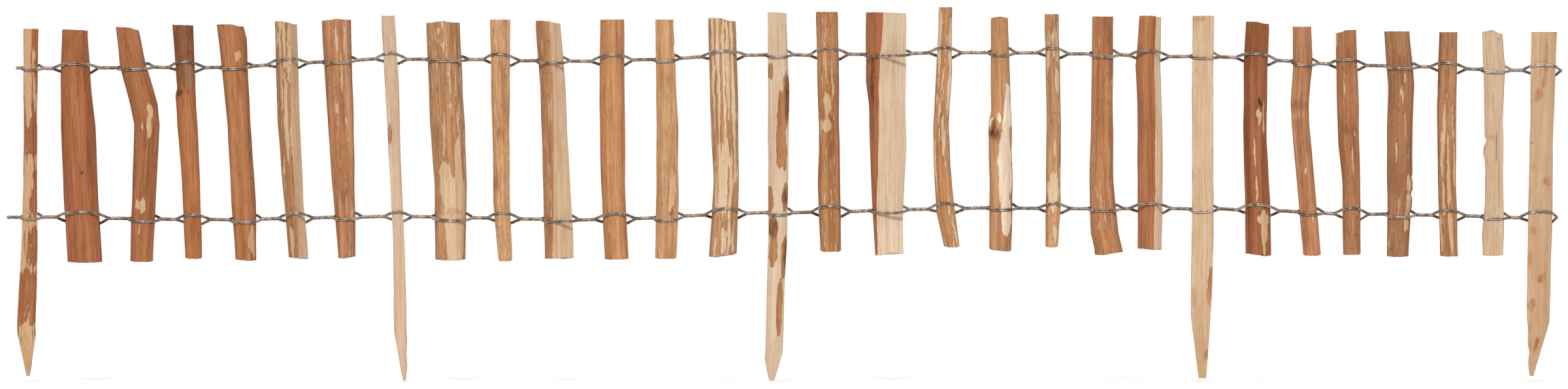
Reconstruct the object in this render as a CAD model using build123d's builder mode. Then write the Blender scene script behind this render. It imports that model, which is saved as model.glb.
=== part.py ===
"""Hazel garden edging: cleft stakes and pointed posts held in a row by two lines of twisted wire.

Units are millimetres. +X runs along the row, +Y goes through it from front to back and +Z is up.
The origin is on the blunt tip of the centre post.
"""

from build123d import *
import math
import os
from dataclasses import dataclass

# Wire: two doubled wires make one line, and they close round every upright
WIRE_DIAMETER = 1.8
WIRE_SIDES = 4
WIRE_GAP = 0.15
SEAT_CLEARANCE = 0.15
TWIST_RADIUS = 1.95
RIGHT_TAIL = 1.5

# Eyes: how far the front and back pairs rise from the line, low and high by turns along the row
LOW_EYE = (-2.5, 3.0)
HIGH_EYE = (6.5, -4.7)


@dataclass
class Line:
    """A wire line: its name, the length of its cut end at the left, and its height at each station."""

    name: str
    left_tail: float
    heights: tuple


# Stations are the posts and the places midway between them
LINE_STATIONS = (-953, -720, -485, -240, 9, 285, 554, 775, 988)
LINES = [
    Line("upper", 6.5, (402, 403, 414, 411, 419, 422, 417, 405, 399)),
    Line("lower", 16.5, (210, 207, 211, 207, 216, 222, 221, 214, 210)),
]

# Cleft sections: thickness as a share of width for each way of splitting a pole
HALF_DEPTH = 0.5
QUARTER_DEPTH = 0.8
QUARTER_CROWN = 0.22
ROUND_DEPTH = 0.88
RIDGE_DEPTH = 0.62
SLAT_DEPTH = 0.55
BARK_FLATS = 8
ROD_FLATS = 12

# Hewn post tips
TIP_DEPTH = 6.0
POST_FACE_CUT = 55.0


@dataclass
class Upright:
    """A stake or post. Each ring is its height, its middle along the row and its width.

    The top drops from left to right, or from right to left where the drop is negative. A ridge has its arris at these
    shares of the width, at the foot and at the top.
    """

    name: str
    split: str
    rings: list
    top_drop: float = 0.0
    ridge: tuple = (0.5, 0.5)


@dataclass
class Point:
    """A post's hewn tip: heights where the left and right cuts start, and the blunt end's width."""

    left: float
    right: float
    blunt: float


UPRIGHTS = [
    Upright("left_end_post", "quarter", [(6, -956, 25), (70, -958, 25), (171, -954, 22), (255, -953, 18),
                                         (330, -953, 18), (453, -952, 20)]),
    Upright("stake_01", "half", [(151, -883, 45), (229, -888, 45), (330, -892, 45), (381, -895, 39),
                                 (453, -896, 33)], top_drop=2),
    Upright("stake_02", "round", [(152, -810, 30), (255, -806, 32), (330, -803, 33), (356, -807, 36),
                                  (405, -821, 34), (456, -829, 29)], top_drop=2),
    Upright("stake_03", "quarter", [(156, -743, 22), (255, -746, 24), (330, -751, 27), (366, -753, 27),
                                    (375, -752, 24), (459, -757, 28)], top_drop=2),
    Upright("stake_04", "half", [(153, -676, 27), (229, -679, 32), (330, -685, 30), (440, -693, 36),
                                 (459, -697, 34)]),
    Upright("stake_05", "ridge", [(155, -608, 26), (229, -614, 25), (330, -621, 29), (465, -625, 30)],
            top_drop=6, ridge=(0.55, 0.72)),
    Upright("stake_06", "half", [(156, -546, 22), (255, -551, 29), (330, -554, 34), (466, -560, 38)]),
    Upright("left_middle_post", "slat", [(0, -472, 15), (60, -477, 16), (171, -479, 15), (280, -484, 15),
                                         (381, -488, 18), (470, -493, 17)]),
    Upright("stake_07", "half", [(154, -413, 39), (255, -413, 42), (330, -417, 45), (463, -423, 43)]),
    Upright("stake_08", "quarter", [(153, -342, 18), (229, -347, 22), (330, -348, 23), (465, -349, 27)]),
    Upright("stake_09", "ridge", [(156, -273, 38), (255, -276, 36), (381, -281, 34), (465, -288, 32)],
            top_drop=4, ridge=(0.3, 0.63)),
    Upright("stake_10", "half", [(155, -199, 31), (255, -204, 31), (355, -205, 33), (465, -205, 31)]),
    Upright("stake_11", "quarter", [(156, -136, 28), (229, -134, 30), (330, -134, 28), (465, -138, 24)]),
    Upright("stake_12", "half", [(156, -63, 36), (255, -58, 33), (355, -61, 37), (468, -64, 35)], top_drop=3),
    Upright("centre_post", "quarter", [(0, 0, 24), (36, 3, 24), (103, 5, 24), (187, 8, 25), (280, 9, 27),
                                       (381, 9, 28), (475, 7, 25)], top_drop=2),
    Upright("stake_13", "round", [(165, 76, 27), (255, 74, 29), (330, 74, 26), (381, 73, 28), (475, 71, 28)]),
    Upright("stake_14", "ridge", [(160, 153, 39), (229, 151, 44), (305, 151, 50), (355, 149, 49), (385, 147, 52),
                                  (475, 148, 53)], top_drop=2, ridge=(0.06, 0.42)),
    Upright("stake_15", "round", [(171, 232, 20), (215, 224, 24), (280, 219, 22), (330, 218, 20), (400, 222, 20),
                                  (481, 224, 17)]),
    Upright("stake_16", "round", [(165, 294, 29), (255, 295, 30), (320, 294, 30), (350, 295, 26), (400, 294, 24),
                                  (469, 293, 22)]),
    Upright("stake_17", "round", [(171, 360, 16), (220, 362, 19), (330, 363, 19), (472, 360, 18)]),
    Upright("stake_18", "half", [(160, 435, 37), (190, 428, 36), (255, 424, 31), (330, 425, 28), (469, 426, 27)]),
    Upright("stake_19", "ridge", [(167, 486, 32), (255, 487, 34), (355, 486, 33), (405, 484, 33), (470, 487, 29)],
            ridge=(0.7, 0.75)),
    Upright("right_middle_post", "slat", [(3, 554, 28), (103, 552, 27), (187, 554, 28), (330, 554, 27),
                                          (470, 555, 28)]),
    Upright("stake_20", "half", [(159, 626, 33), (229, 625, 33), (305, 622, 30), (405, 622, 31), (463, 625, 30)],
            top_drop=2),
    Upright("stake_21", "round", [(160, 695, 23), (255, 687, 23), (330, 680, 23), (356, 679, 24), (405, 683, 25),
                                  (456, 682, 24)]),
    Upright("stake_22", "quarter", [(160, 746, 23), (255, 745, 24), (305, 742, 28), (381, 740, 29), (453, 738, 27)],
            top_drop=-4),
    Upright("stake_23", "half", [(158, 805, 28), (229, 808, 32), (330, 808, 34), (381, 810, 34), (450, 804, 33)]),
    Upright("stake_24", "quarter", [(159, 871, 24), (255, 868, 24), (355, 868, 26), (449, 870, 24)]),
    Upright("stake_25", "slat", [(160, 927, 26), (187, 927, 28), (229, 929, 24), (330, 928, 24), (395, 929, 27),
                                 (453, 926, 26)], top_drop=3),
    Upright("right_end_post", "slat", [(6, 977, 30), (70, 985, 29), (171, 987, 31), (229, 988, 31), (330, 990, 30),
                                       (449, 993, 33)]),
]

POINTS = {
    "left_end_post": Point(left=66, right=62, blunt=4),
    "left_middle_post": Point(left=62, right=20, blunt=3),
    "centre_post": Point(left=30, right=38, blunt=6),
    "right_middle_post": Point(left=85, right=108, blunt=10),
    "right_end_post": Point(left=24, right=76, blunt=5),
}


FRONT, BACK = -1, 1
SLANT = math.sqrt(0.5)
CORNER = TWIST_RADIUS * SLANT


def between(low, high, share):
    return low + (high - low) * share


def ring_at(upright, height):
    """Middle and width of an upright at a height, straight between its rings."""
    for (z0, x0, w0), (z1, x1, w1) in zip(upright.rings, upright.rings[1:]):
        if height <= z1:
            break
    share = (height - z0) / (z1 - z0)
    return between(x0, x1, share), between(w0, w1, share)


# Cleft sections: corners in plan, with the front at -Y


def flats(start, crown, end):
    """Corners along a round of bark, which is modelled as narrow flats."""
    bark = ThreePointArc(start, crown, end, mode=Mode.PRIVATE)
    return [bark @ (step / BARK_FLATS) for step in range(BARK_FLATS + 1)]


def half_corners(width, ridge):
    """Half a pole, bark to the front and the split face behind."""
    edge, face = width / 2, width * HALF_DEPTH / 2
    return flats((-edge, face), (0, -face), (edge, face))


def quarter_corners(width, ridge):
    """A quarter of a pole, bark to the front and two split faces that meet behind."""
    edge, heart = width / 2, width * QUARTER_DEPTH / 2
    shoulder = width * QUARTER_CROWN - heart
    return flats((-edge, shoulder), (0, -heart), (edge, shoulder)) + [Vector(0, heart)]


def round_corners(width, ridge):
    """A whole rod, a little flattened."""
    edge, face = width / 2, width * ROUND_DEPTH / 2
    turns = [math.tau * step / ROD_FLATS for step in range(ROD_FLATS)]
    return [Vector(edge * math.cos(turn), face * math.sin(turn)) for turn in turns]


def ridge_corners(width, ridge):
    """A quarter turned so that its arris is in front: bark to the left of it, a split face to the right."""
    edge, face = width / 2, width * RIDGE_DEPTH / 2
    arris = between(-edge, edge, ridge)
    swell = (between(-edge, arris, 0.42), between(face, -face, 0.62))
    return flats((-edge, face), swell, (arris, -face)) + [Vector(edge, face)]


def slat_corners(width, ridge):
    """Half a pole turned round: the split face to the front and the bark behind."""
    edge, face = width / 2, width * SLAT_DEPTH / 2
    return flats((edge, -face), (0, face), (-edge, -face))


SECTIONS = {
    "half": half_corners,
    "quarter": quarter_corners,
    "round": round_corners,
    "ridge": ridge_corners,
    "slat": slat_corners,
}


def make_upright(upright):
    foot, top = upright.rings[0][0], upright.rings[-1][0]
    with BuildPart() as stick:
        for height, middle, width in upright.rings:
            ridge = between(*upright.ridge, (height - foot) / (top - foot))
            with BuildSketch(Plane(origin=(middle, 0, height))):
                with BuildLine():
                    Polyline(*SECTIONS[upright.split](width, ridge), close=True)
                make_face()
        loft(ruled=True)
        if upright.top_drop:
            split(bisect_by=saw_cut(upright), keep=Keep.BOTTOM)
        if upright.name in POINTS:
            for cut in tip_cuts(upright, POINTS[upright.name]):
                split(bisect_by=cut, keep=Keep.BOTTOM)
    stick.part.label = upright.name
    return stick.part


def saw_cut(upright):
    """The plane of a top that was sawn aslant, from its high side down to its low side."""
    height, middle, width = upright.rings[-1]
    return Plane(origin=(middle, 0, height - abs(upright.top_drop) / 2), z_dir=(upright.top_drop, 0, width))


def tip_cuts(upright, point):
    """Four planes that hew a post's tip, each through its shoulder and the edge of the blunt end."""
    tip_height, tip_middle, tip_width = upright.rings[0]
    for side, shoulder in ((-1, point.left), (1, point.right)):
        middle, width = ring_at(upright, shoulder)
        run = tip_middle + side * point.blunt / 2 - (middle + side * width / 2)
        rise = shoulder - tip_height
        yield Plane(origin=(middle + side * width / 2, 0, shoulder), z_dir=(side * rise, 0, side * run))
    depth = tip_width * (SLAT_DEPTH if upright.split == "slat" else QUARTER_DEPTH)
    for side in (-1, 1):
        run = (depth - TIP_DEPTH) / 2
        yield Plane(origin=(tip_middle, side * depth / 2, POST_FACE_CUT + tip_height),
                    z_dir=(0, side * POST_FACE_CUT, -run))


# Wire lines


def line_height(line, x):
    """Height of a line at a place along the row, eased between its stations."""
    x = min(max(x, LINE_STATIONS[0]), LINE_STATIONS[-1])
    for x0, x1, z0, z1 in zip(LINE_STATIONS, LINE_STATIONS[1:], line.heights, line.heights[1:]):
        if x <= x1:
            break
    share = (x - x0) / (x1 - x0)
    return between(z0, z1, share * share * (3 - 2 * share))


def outline_at(part, height):
    """Corners of a solid's outline at a height."""
    level = Plane(origin=(part.center().X, part.center().Y, height))
    cut = section(part, section_by=level, mode=Mode.PRIVATE)
    return [vertex.center() for vertex in cut.vertices()]


def support_corner(points, room, first, second):
    """Where two lines meet that both just clear the points, facing the two given directions in plan."""
    (ax, ay), (bx, by) = first, second
    a = max(p.X * ax + p.Y * ay for p in points) + room
    b = max(p.X * bx + p.Y * by for p in points) + room
    area = ax * by - ay * bx
    return (a * by - b * ay) / area, (b * ax - a * bx) / area


@dataclass
class Eye:
    """How one line parts round one upright: both ends, and the bends in front and behind."""

    left: float
    right: float
    bends: dict


def make_eye(number, part, line):
    room = WIRE_DIAMETER / 2 + SEAT_CLEARANCE
    middle = ring_at(UPRIGHTS[number], line.heights[0])[0]
    height = line_height(line, middle)
    rises = HIGH_EYE if number % 2 else LOW_EYE
    lefts, rights, bends = [], [], {}
    for side, rise in zip((FRONT, BACK), rises):
        pair_height = height + rise
        points = [p for step in (-1, 1) for p in outline_at(part, pair_height + step * WIRE_DIAMETER)]
        left_bend = support_corner(points, room, (-SLANT, side * SLANT), (0, side))
        right_bend = support_corner(points, room, (SLANT, side * SLANT), (0, side))
        reach = abs(left_bend[1]) - CORNER
        lefts.append(left_bend[0] - reach)
        rights.append(right_bend[0] + reach)
        bends[side] = [(x, y, pair_height) for x, y in (left_bend, right_bend)]
    return Eye(min(lefts), max(rights), bends)


def wire_nodes(eyes, line, side, level):
    """Corners of one wire from left to right. It starts in front or behind, as the upper or lower of its pair."""
    start = eyes[0].left - line.left_tail
    nodes = [(start, side * CORNER, line_height(line, start) + level * CORNER)]
    for number, eye in enumerate(eyes):
        pair_step = level * (WIRE_DIAMETER + WIRE_GAP) / 2
        nodes.append((eye.left, side * CORNER, line_height(line, eye.left) + level * CORNER))
        nodes += [(x, y, z + pair_step) for x, y, z in eye.bends[side]]
        nodes.append((eye.right, side * CORNER, line_height(line, eye.right) + level * CORNER))
        if number + 1 < len(eyes):
            turn = -1 if number % 2 else 1
            middle = (eye.right + eyes[number + 1].left) / 2
            height = line_height(line, middle)
            nodes.append((middle, -turn * level * CORNER, height + turn * side * CORNER))
            side, level = -side, -level
    end = eyes[-1].right + RIGHT_TAIL
    nodes.append((end, side * CORNER, line_height(line, end) + level * CORNER))
    return nodes


def make_wire(name, nodes):
    with BuildPart() as wire:
        with BuildLine() as path:
            Polyline(*nodes)
        with BuildSketch(Plane(origin=path.line @ 0, z_dir=path.line % 0)):
            RegularPolygon(WIRE_DIAMETER / 2, WIRE_SIDES)
        sweep(transition=Transition.RIGHT)
    wire.part.label = name
    return wire.part


uprights = [make_upright(upright) for upright in UPRIGHTS]
wires = []
for line in LINES:
    eyes = [make_eye(number, part, line) for number, part in enumerate(uprights)]
    for number, (side, level) in enumerate(((FRONT, 1), (FRONT, -1), (BACK, 1), (BACK, -1)), start=1):
        wires.append(make_wire(f"{line.name}_wire_{number}", wire_nodes(eyes, line, side, level)))

os.makedirs("parts", exist_ok=True)
for part in uprights + wires:
    export_step(part, f"parts/{part.label}.step")
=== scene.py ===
import bpy
import bmesh
import math
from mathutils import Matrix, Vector, noise
from mathutils.bvhtree import BVHTree


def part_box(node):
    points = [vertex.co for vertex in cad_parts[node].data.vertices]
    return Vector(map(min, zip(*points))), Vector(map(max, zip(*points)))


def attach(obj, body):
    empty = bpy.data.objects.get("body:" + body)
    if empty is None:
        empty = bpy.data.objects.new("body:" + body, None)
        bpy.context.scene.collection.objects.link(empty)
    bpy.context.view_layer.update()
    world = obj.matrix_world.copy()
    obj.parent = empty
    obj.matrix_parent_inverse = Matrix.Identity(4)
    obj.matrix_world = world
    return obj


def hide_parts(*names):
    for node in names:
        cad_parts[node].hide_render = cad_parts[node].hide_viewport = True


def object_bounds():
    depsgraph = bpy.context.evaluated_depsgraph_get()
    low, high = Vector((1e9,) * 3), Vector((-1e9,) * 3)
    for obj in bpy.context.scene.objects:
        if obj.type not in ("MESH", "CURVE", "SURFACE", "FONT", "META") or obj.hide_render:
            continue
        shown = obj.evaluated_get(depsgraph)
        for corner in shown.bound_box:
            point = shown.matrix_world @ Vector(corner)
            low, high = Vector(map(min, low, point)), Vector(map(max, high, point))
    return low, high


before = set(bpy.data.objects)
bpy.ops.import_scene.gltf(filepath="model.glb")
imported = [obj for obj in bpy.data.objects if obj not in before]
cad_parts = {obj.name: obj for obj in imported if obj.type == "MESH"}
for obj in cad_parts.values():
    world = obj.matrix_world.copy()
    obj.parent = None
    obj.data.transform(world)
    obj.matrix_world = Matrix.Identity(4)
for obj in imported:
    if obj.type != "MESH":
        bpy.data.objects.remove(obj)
cadLow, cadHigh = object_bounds()
print("frame loaded with", len(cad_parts), "nodes")

mm = 0.001
front, back = -1, 1
rayStart = 0.1  # rays start this far from a piece's axis, in metres
wireRoom = 2.1 * mm  # what a wire needs outside the wood
noiseMiddle = 0.5  # a noise texture swings about this


def linear(level):
    # linear light from a level of 0 to 255
    level /= 255
    return level / 12.92 if level <= 0.04045 else ((level + 0.055) / 1.055) ** 2.4


def tone(red, green, blue):
    return (linear(red), linear(green), linear(blue), 1.0)


def ease(value, low, high):
    share = min(max((value - low) / (high - low), 0.0), 1.0)
    return share * share * (3 - 2 * share)


def between(low, high, share):
    return low + (high - low) * share


class Link:
    # one socket of a node tree: operators add Math nodes, node() adds any other kind
    def __init__(self, tree, socket=None):
        self.tree = tree
        self.socket = socket

    def node(self, kind, settings=None, inputs=None, out=0):
        made = self.tree.nodes.new("ShaderNode" + kind)
        for name, value in (settings or {}).items():
            setattr(made, name, value)
        for name, value in (inputs or {}).items():
            if isinstance(value, Link):
                self.tree.links.new(value.socket, made.inputs[name])
            else:
                made.inputs[name].default_value = value
        return Link(self.tree, made.outputs[out])

    def attribute(self, name, out):
        return self.node("Attribute", {"attribute_name": name}, None, out)

    def calc(self, operation, first, second):
        return self.node("Math", {"operation": operation}, {0: first, 1: second})

    def __add__(self, other):
        return self.calc("ADD", self, other)

    def __radd__(self, other):
        return self.calc("ADD", other, self)

    def __sub__(self, other):
        return self.calc("SUBTRACT", self, other)

    def __rsub__(self, other):
        return self.calc("SUBTRACT", other, self)

    def __mul__(self, other):
        return self.calc("MULTIPLY", self, other)

    def __rmul__(self, other):
        return self.calc("MULTIPLY", other, self)

    def step(self, low, high):
        return self.node("MapRange", {"interpolation_type": "SMOOTHSTEP"}, {0: self, 1: low, 2: high})

    def times(self, red, green, blue):
        return self.node("VectorMath", {"operation": "MULTIPLY"}, {0: self, 1: (red, green, blue)})

    def blend(self, other, mask):
        # a Mix node's colours are its inputs 6 and 7 and its output 2
        return self.node("Mix", {"data_type": "RGBA"}, {0: mask, 6: self, 7: other}, 2)

    def noise(self, along, scale, detail, roughness=0.55):
        look = {"Scale": scale, "Detail": detail, "Roughness": roughness}
        return self.node("TexNoise", None, {"Vector": self.times(1, 1, along), **look})


# wood finish: bark that has worn off in streaks, over pale split wood
woodLook = {
    # each noise's factor along the grain, where a small one draws it out, its scale, detail and roughness
    "noises": {
        "streak": (0.05, 260, 4, 0.6),  # about 4 mm across
        "fleck": (0.12, 430, 3),
        "fibre": (0.012, 700, 3),
        "hair": (0.05, 1900, 2),
        "band": (0.03, 130, 3),
        "cloud": (0.3, 60, 4, 0.6),
        "crack": (0.02, 560, 2),
        "speck": (0.55, 300, 1),
    },
    # how much each noise counts
    "wornBy": {"fleck": 0.6, "hair": 0.3},
    "barkBy": {"fibre": 1.3, "hair": 0.9, "band": 1.4},
    "broadBy": {"band": 0.8, "cloud": 1.6},
    "paleBy": {"fibre": 1.2, "hair": 0.9, "band": 1.2, "cloud": 0.9},
    # where each mask begins and ends
    "crackEdge": (0.61, 0.68),
    "speckEdge": (0.7, 0.77),
    "paleEdge": (0.57, 0.63),
    "rimStart": (0.5, 0.56),
    "rimEnd": (0.58, 0.64),
    "broadEdge": (-0.35, 0.8),
    "knotEdge": (0.25, 0.95),
    # factors of a piece's own tones
    "barkDark": (0.78, 0.66, 0.52),
    "barkLight": (1.20, 1.32, 1.33),
    "barkShade": (0.62, 0.55, 0.50),
    "barkGlow": (1.12, 1.14, 1.16),
    "barkRim": (0.6, 0.5, 0.42),
    "paleDark": (0.89, 0.80, 0.70),
    "paleLight": (1.08, 1.14, 1.21),
    # the dark tone of knots and specks, and of the painted shade along the cut ends
    "knotAndShadeTone": tone(74, 42, 27),
    "crackTone": tone(96, 58, 38),
    # how strongly each mark shows
    "barkCrack": 0.3,
    "barkSpeck": 0.5,
    "rim": 0.55,
    "paleCrack": 0.14,
    "paleSpeck": 0.2,
    "knotLeast": 0.5,
    "knotFleck": 0.8,
    # relief and gloss
    "fibreRelief": 0.7,
    "hairRelief": 0.3,
    "fleckRelief": 0.25,
    "paleSunk": 0.5,
    "crackSunk": 0.5,
    "bumpStrength": 0.8,
    "bumpDepth": 0.8 * mm,
    "hairRoughness": 0.2,
    "paleRoughness": 0.08,
    "specular": 0.18,
}


def swings(noises, weights):
    # a sum of noises, each of which swings about zero
    parts = [(noises[name] - noiseMiddle) * weight for name, weight in weights.items()]
    total = parts[0]
    for part in parts[1:]:
        total = total + part
    return total


def woodFinish(name, roughness):
    look = woodLook
    material = bpy.data.materials.new(name)
    material.use_nodes = True
    tree = material.node_tree
    shader = tree.nodes["Principled BSDF"]
    start = Link(tree)
    grain = start.attribute("grain", "Vector")
    barkTone = start.attribute("barkTone", "Color")
    paleTone = start.attribute("paleTone", "Color")
    peel = start.attribute("peel", "Fac")
    knotAndCutShade = start.attribute("knotAndCutShade", "Fac")
    sawn = start.attribute("sawn", "Fac")

    noises = {name: grain.noise(*shape) for name, shape in look["noises"].items()}
    fleck, hair = noises["fleck"], noises["hair"]
    crack = noises["crack"].step(*look["crackEdge"])
    speck = noises["speck"].step(*look["speckEdge"])
    worn = noises["streak"] + swings(noises, look["wornBy"]) + peel
    pale = worn.step(*look["paleEdge"])
    rim = worn.step(*look["rimStart"]) * (1 - worn.step(*look["rimEnd"]))

    depth = swings(noises, look["barkBy"]) + noiseMiddle
    broad = swings(noises, look["broadBy"]) + noiseMiddle
    bark = barkTone.times(*look["barkDark"]).blend(barkTone.times(*look["barkLight"]), depth.step(0, 1))
    shaded, glowing = bark.times(*look["barkShade"]), bark.times(*look["barkGlow"])
    bark = shaded.blend(glowing, broad.step(*look["broadEdge"]))
    bark = bark.blend(look["crackTone"], crack * look["barkCrack"])
    bark = bark.blend(look["knotAndShadeTone"], speck * look["barkSpeck"])
    bark = bark.blend(barkTone.times(*look["barkRim"]), rim * look["rim"])

    shade = swings(noises, look["paleBy"]) + noiseMiddle
    paleDark, paleLight = paleTone.times(*look["paleDark"]), paleTone.times(*look["paleLight"])
    wood = paleDark.blend(paleLight, shade.step(0, 1))
    wood = wood.blend(barkTone, crack * look["paleCrack"] + speck * look["paleSpeck"])
    colour = bark.blend(wood, pale)
    # knots, and the painted shade along the cut ends, darken the colour together
    knotAndCutShadeMask = knotAndCutShade.step(*look["knotEdge"]) * (look["knotLeast"] + fleck * look["knotFleck"])
    colour = colour.blend(look["knotAndShadeTone"], knotAndCutShadeMask)
    colour = colour.blend(paleDark.blend(paleTone, shade), sawn)

    height = noises["fibre"] * look["fibreRelief"] + hair * look["hairRelief"] + fleck * look["fleckRelief"]
    height = height - pale * look["paleSunk"] - crack * look["crackSunk"]
    relief = {"Height": height, "Strength": look["bumpStrength"], "Distance": look["bumpDepth"]}
    bump = start.node("Bump", None, relief)
    rough = roughness + hair * look["hairRoughness"] + pale * look["paleRoughness"]
    tree.links.new(colour.socket, shader.inputs["Base Color"])
    tree.links.new(rough.socket, shader.inputs["Roughness"])
    tree.links.new(bump.socket, shader.inputs["Normal"])
    shader.inputs["Specular IOR Level"].default_value = look["specular"]
    return material


finishes = {
    "brown_bark_wood": woodFinish("brown_bark_wood", roughness=0.58),
    "pale_split_wood": woodFinish("pale_split_wood", roughness=0.62),
}

# uprights: a grid rolled round each CAD stake or post, then weathered
rolled = {
    "columns": 74,
    "ringStep": 2.55 * mm,
    "footClear": 0.4 * mm,  # spans are measured clear of the cuts
    "topClear": 8 * mm,
    "footInside": 0.3 * mm,  # and so are the places of the rays
    "topInside": 0.6 * mm,
    "axisReach": 3,  # rings that smooth the axis, to each side
    "arrisReach": 4,
    "arrisSteps": 40,
    "topShare": 0.7,  # of the half width, where the slope of a top is measured
    "seedTurn": 1.37,
    "seedRise": 0.83,
    "facing": (-0.25, 0.25),  # marks fade out past the sides
    "seam": 0.02 * mm,
    "sharpAngle": 50,
}
cutLook = {
    "wave": 0.7 * mm,
    "waveScale": 2.2,
    "raggedScale": 2.5,
    "corner": (0.1, 1.1),
    "footSeed": 5,
    "footRound": 1.5 * mm,
    "footCorner": (0.75, 1),
    # painted shade: a dark rim along the cut ends
    "cutShadeHeight": 2.2 * mm,
    "cutShade": 0.5,
    "insetWidth": 0.8 * mm,
    "insetDepth": 0.25 * mm,
    "hewnTilt": -0.07,  # a post's point is hewn where its faces look down
    "hewnHeight": 110,
    "hewnShow": 0.8,
}
reliefLook = {
    "lump": 0.8 * mm,
    "lumpScale": (1.2, 1.2, 22),
    "rib": 0.22 * mm,
    "ribScale": (9, 9, 16),
    "calmLength": 8 * mm,  # less relief near the cuts
    "calmShare": 0.3,
    "knotSquash": 0.8,
    "knotEdge": (0.4, 1.0),
    "biteSide": (0.45, 0.95),
    "biteEdge": (0.2, 1.0),
}
spotLook = {
    "edge": (0.3, 1.5),
    "broadScale": (0.16, 0.06),  # per mm across and up
    "broadShift": (1.3, 6),  # mm across and up
    "fineScale": (0.4, 0.17),
    "fineShift": (0.8, 3),
    "apart": Vector((17.3, 31.7, 5.1)),  # so that the shifts across and up differ
    "mottleScale": (0.5, 0.12),
    "mottle": (0.8, 0.5),
}
splitLook = {
    "weight": 0.5,
    "slatFace": -0.8,
    "slatSides": -0.2,
    "ridge": 1.5,
    "ridgeBack": 0.8,
    "ridgeEdge": 1 * mm,
    "cleftBack": 0.1,
}


def surfaceOf(meshObject):
    bm = bmesh.new()
    bm.from_mesh(meshObject.data)
    tree = BVHTree.FromBMesh(bm)
    bm.free()
    return tree


def spanAt(surface, x, z):
    # middle and half width of a piece at one height
    far = 2 * rayStart
    fromLeft = surface.ray_cast(Vector((x - far, 0, z)), Vector((1, 0, 0)))[0]
    fromRight = surface.ray_cast(Vector((x + far, 0, z)), Vector((-1, 0, 0)))[0]
    return (fromLeft.x + fromRight.x) / 2, (fromRight.x - fromLeft.x) / 2


def smoothed(values, reach):
    result = []
    for index in range(len(values)):
        near = values[max(index - reach, 0):index + reach + 1]
        result.append(sum(near) / len(near))
    return result


def arrisAt(surface, span, z):
    # where a ridge stands furthest forward
    foremost = []
    middle, halfWidth = span
    for step in range(1, rolled["arrisSteps"]):
        x = middle + halfWidth * (step / (rolled["arrisSteps"] / 2) - 1)
        found = surface.ray_cast(Vector((x, -rayStart, z)), Vector((0, 1, 0)))[0]
        if found is not None:
            foremost.append((found.y, x))
    return min(foremost)[1]


def splitShare(kind, normal, pastArris):
    # how far a face is split wood and not bark
    if kind == "slat":
        return 1.0 if normal.y < splitLook["slatFace"] else splitLook["slatSides"]
    if kind == "ridge":
        edge = splitLook["ridgeEdge"]
        behind = normal.y > splitLook["ridgeBack"]
        return splitLook["ridge"] * (1 if behind else ease(pastArris, -edge, edge))
    return 1.0 if kind != "round" and normal.y > splitLook["cleftBack"] else 0.0


def insideOf(across, height, oval):
    # 1 in the middle of an oval spot, 0 outside it
    ovalAcross, ovalHeight, halfWidth, halfHeight = oval
    away = ((across - ovalAcross) / halfWidth) ** 2 + ((height - ovalHeight) / halfHeight) ** 2
    return 1 - ease(away, *spotLook["edge"])


def wavered(across, height, phase):
    # shifts a place by a few mm, so that no spot is a plain oval
    broadAcross, broadUp = spotLook["broadScale"]
    fineAcross, fineUp = spotLook["fineScale"]
    broad = Vector((across * broadAcross + phase, height * broadUp, phase))
    fine = Vector((across * fineAcross, height * fineUp + phase, phase))
    shifted = []
    for axis, value in enumerate((across, height)):
        apart = spotLook["apart"] * axis
        shift = noise.noise(broad + apart) * spotLook["broadShift"][axis]
        shift += noise.noise(fine + apart) * spotLook["fineShift"][axis]
        shifted.append(value + shift)
    return shifted


def mixTone(first, second, share):
    return tuple(between(a, b, share) for a, b in zip(first, second))


def cutLevels(piece, outward, lowest, tops, phase):
    # heights of an upright's foot and top on one side of it
    turned = (outward.x * cutLook["waveScale"], outward.y * cutLook["waveScale"])
    rightward = (outward.x + 1) / 2
    dropLeft, dropRight = piece.get("corners", (0, 0))
    top = between(*tops, rightward)
    top -= dropLeft * mm * ease(-outward.x, *cutLook["corner"])
    top -= dropRight * mm * ease(outward.x, *cutLook["corner"])
    top -= cutLook["wave"] * (1 + noise.noise(Vector((*turned, phase))))
    ragged = 1 + noise.noise(outward * cutLook["raggedScale"])
    foot = lowest + piece.get("ragged", 0) * mm * ragged
    if piece["node"].startswith("stake"):
        foot += between(*piece.get("foot", (0, 0)), rightward) * mm
        foot += cutLook["wave"] * (1 + noise.noise(Vector((*turned, phase + cutLook["footSeed"]))))
        foot += cutLook["footRound"] * ease(abs(outward.x), *cutLook["footCorner"])
    return foot, top


def paintAt(piece, across, height, facing, phase):
    # how far the bark is gone, and the tones of bark and wood, at one place
    peel = piece["streaks"]
    for *oval, gone in piece.get("patches", []):
        peel += gone * facing * insideOf(across, height, oval)
    barkTone, paleTone = tone(*piece["bark"]), tone(*piece["pale"])
    scaleAcross, scaleUp = spotLook["mottleScale"]
    least, swing = spotLook["mottle"]
    mottle = least + swing * noise.noise(Vector((across * scaleAcross, height * scaleUp, phase)))
    # stained wood, and on stake_04 a painted highlight and painted shade down its sides
    for *oval, stainAndPaintedLightTone, strength in piece.get("stainsAndPaintedLight", []):
        share = min(strength * mottle, 1) * facing * insideOf(across, height, oval)
        barkTone = mixTone(barkTone, tone(*stainAndPaintedLightTone), share)
        paleTone = mixTone(paleTone, tone(*stainAndPaintedLightTone), share)
    return peel, barkTone, paleTone


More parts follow.
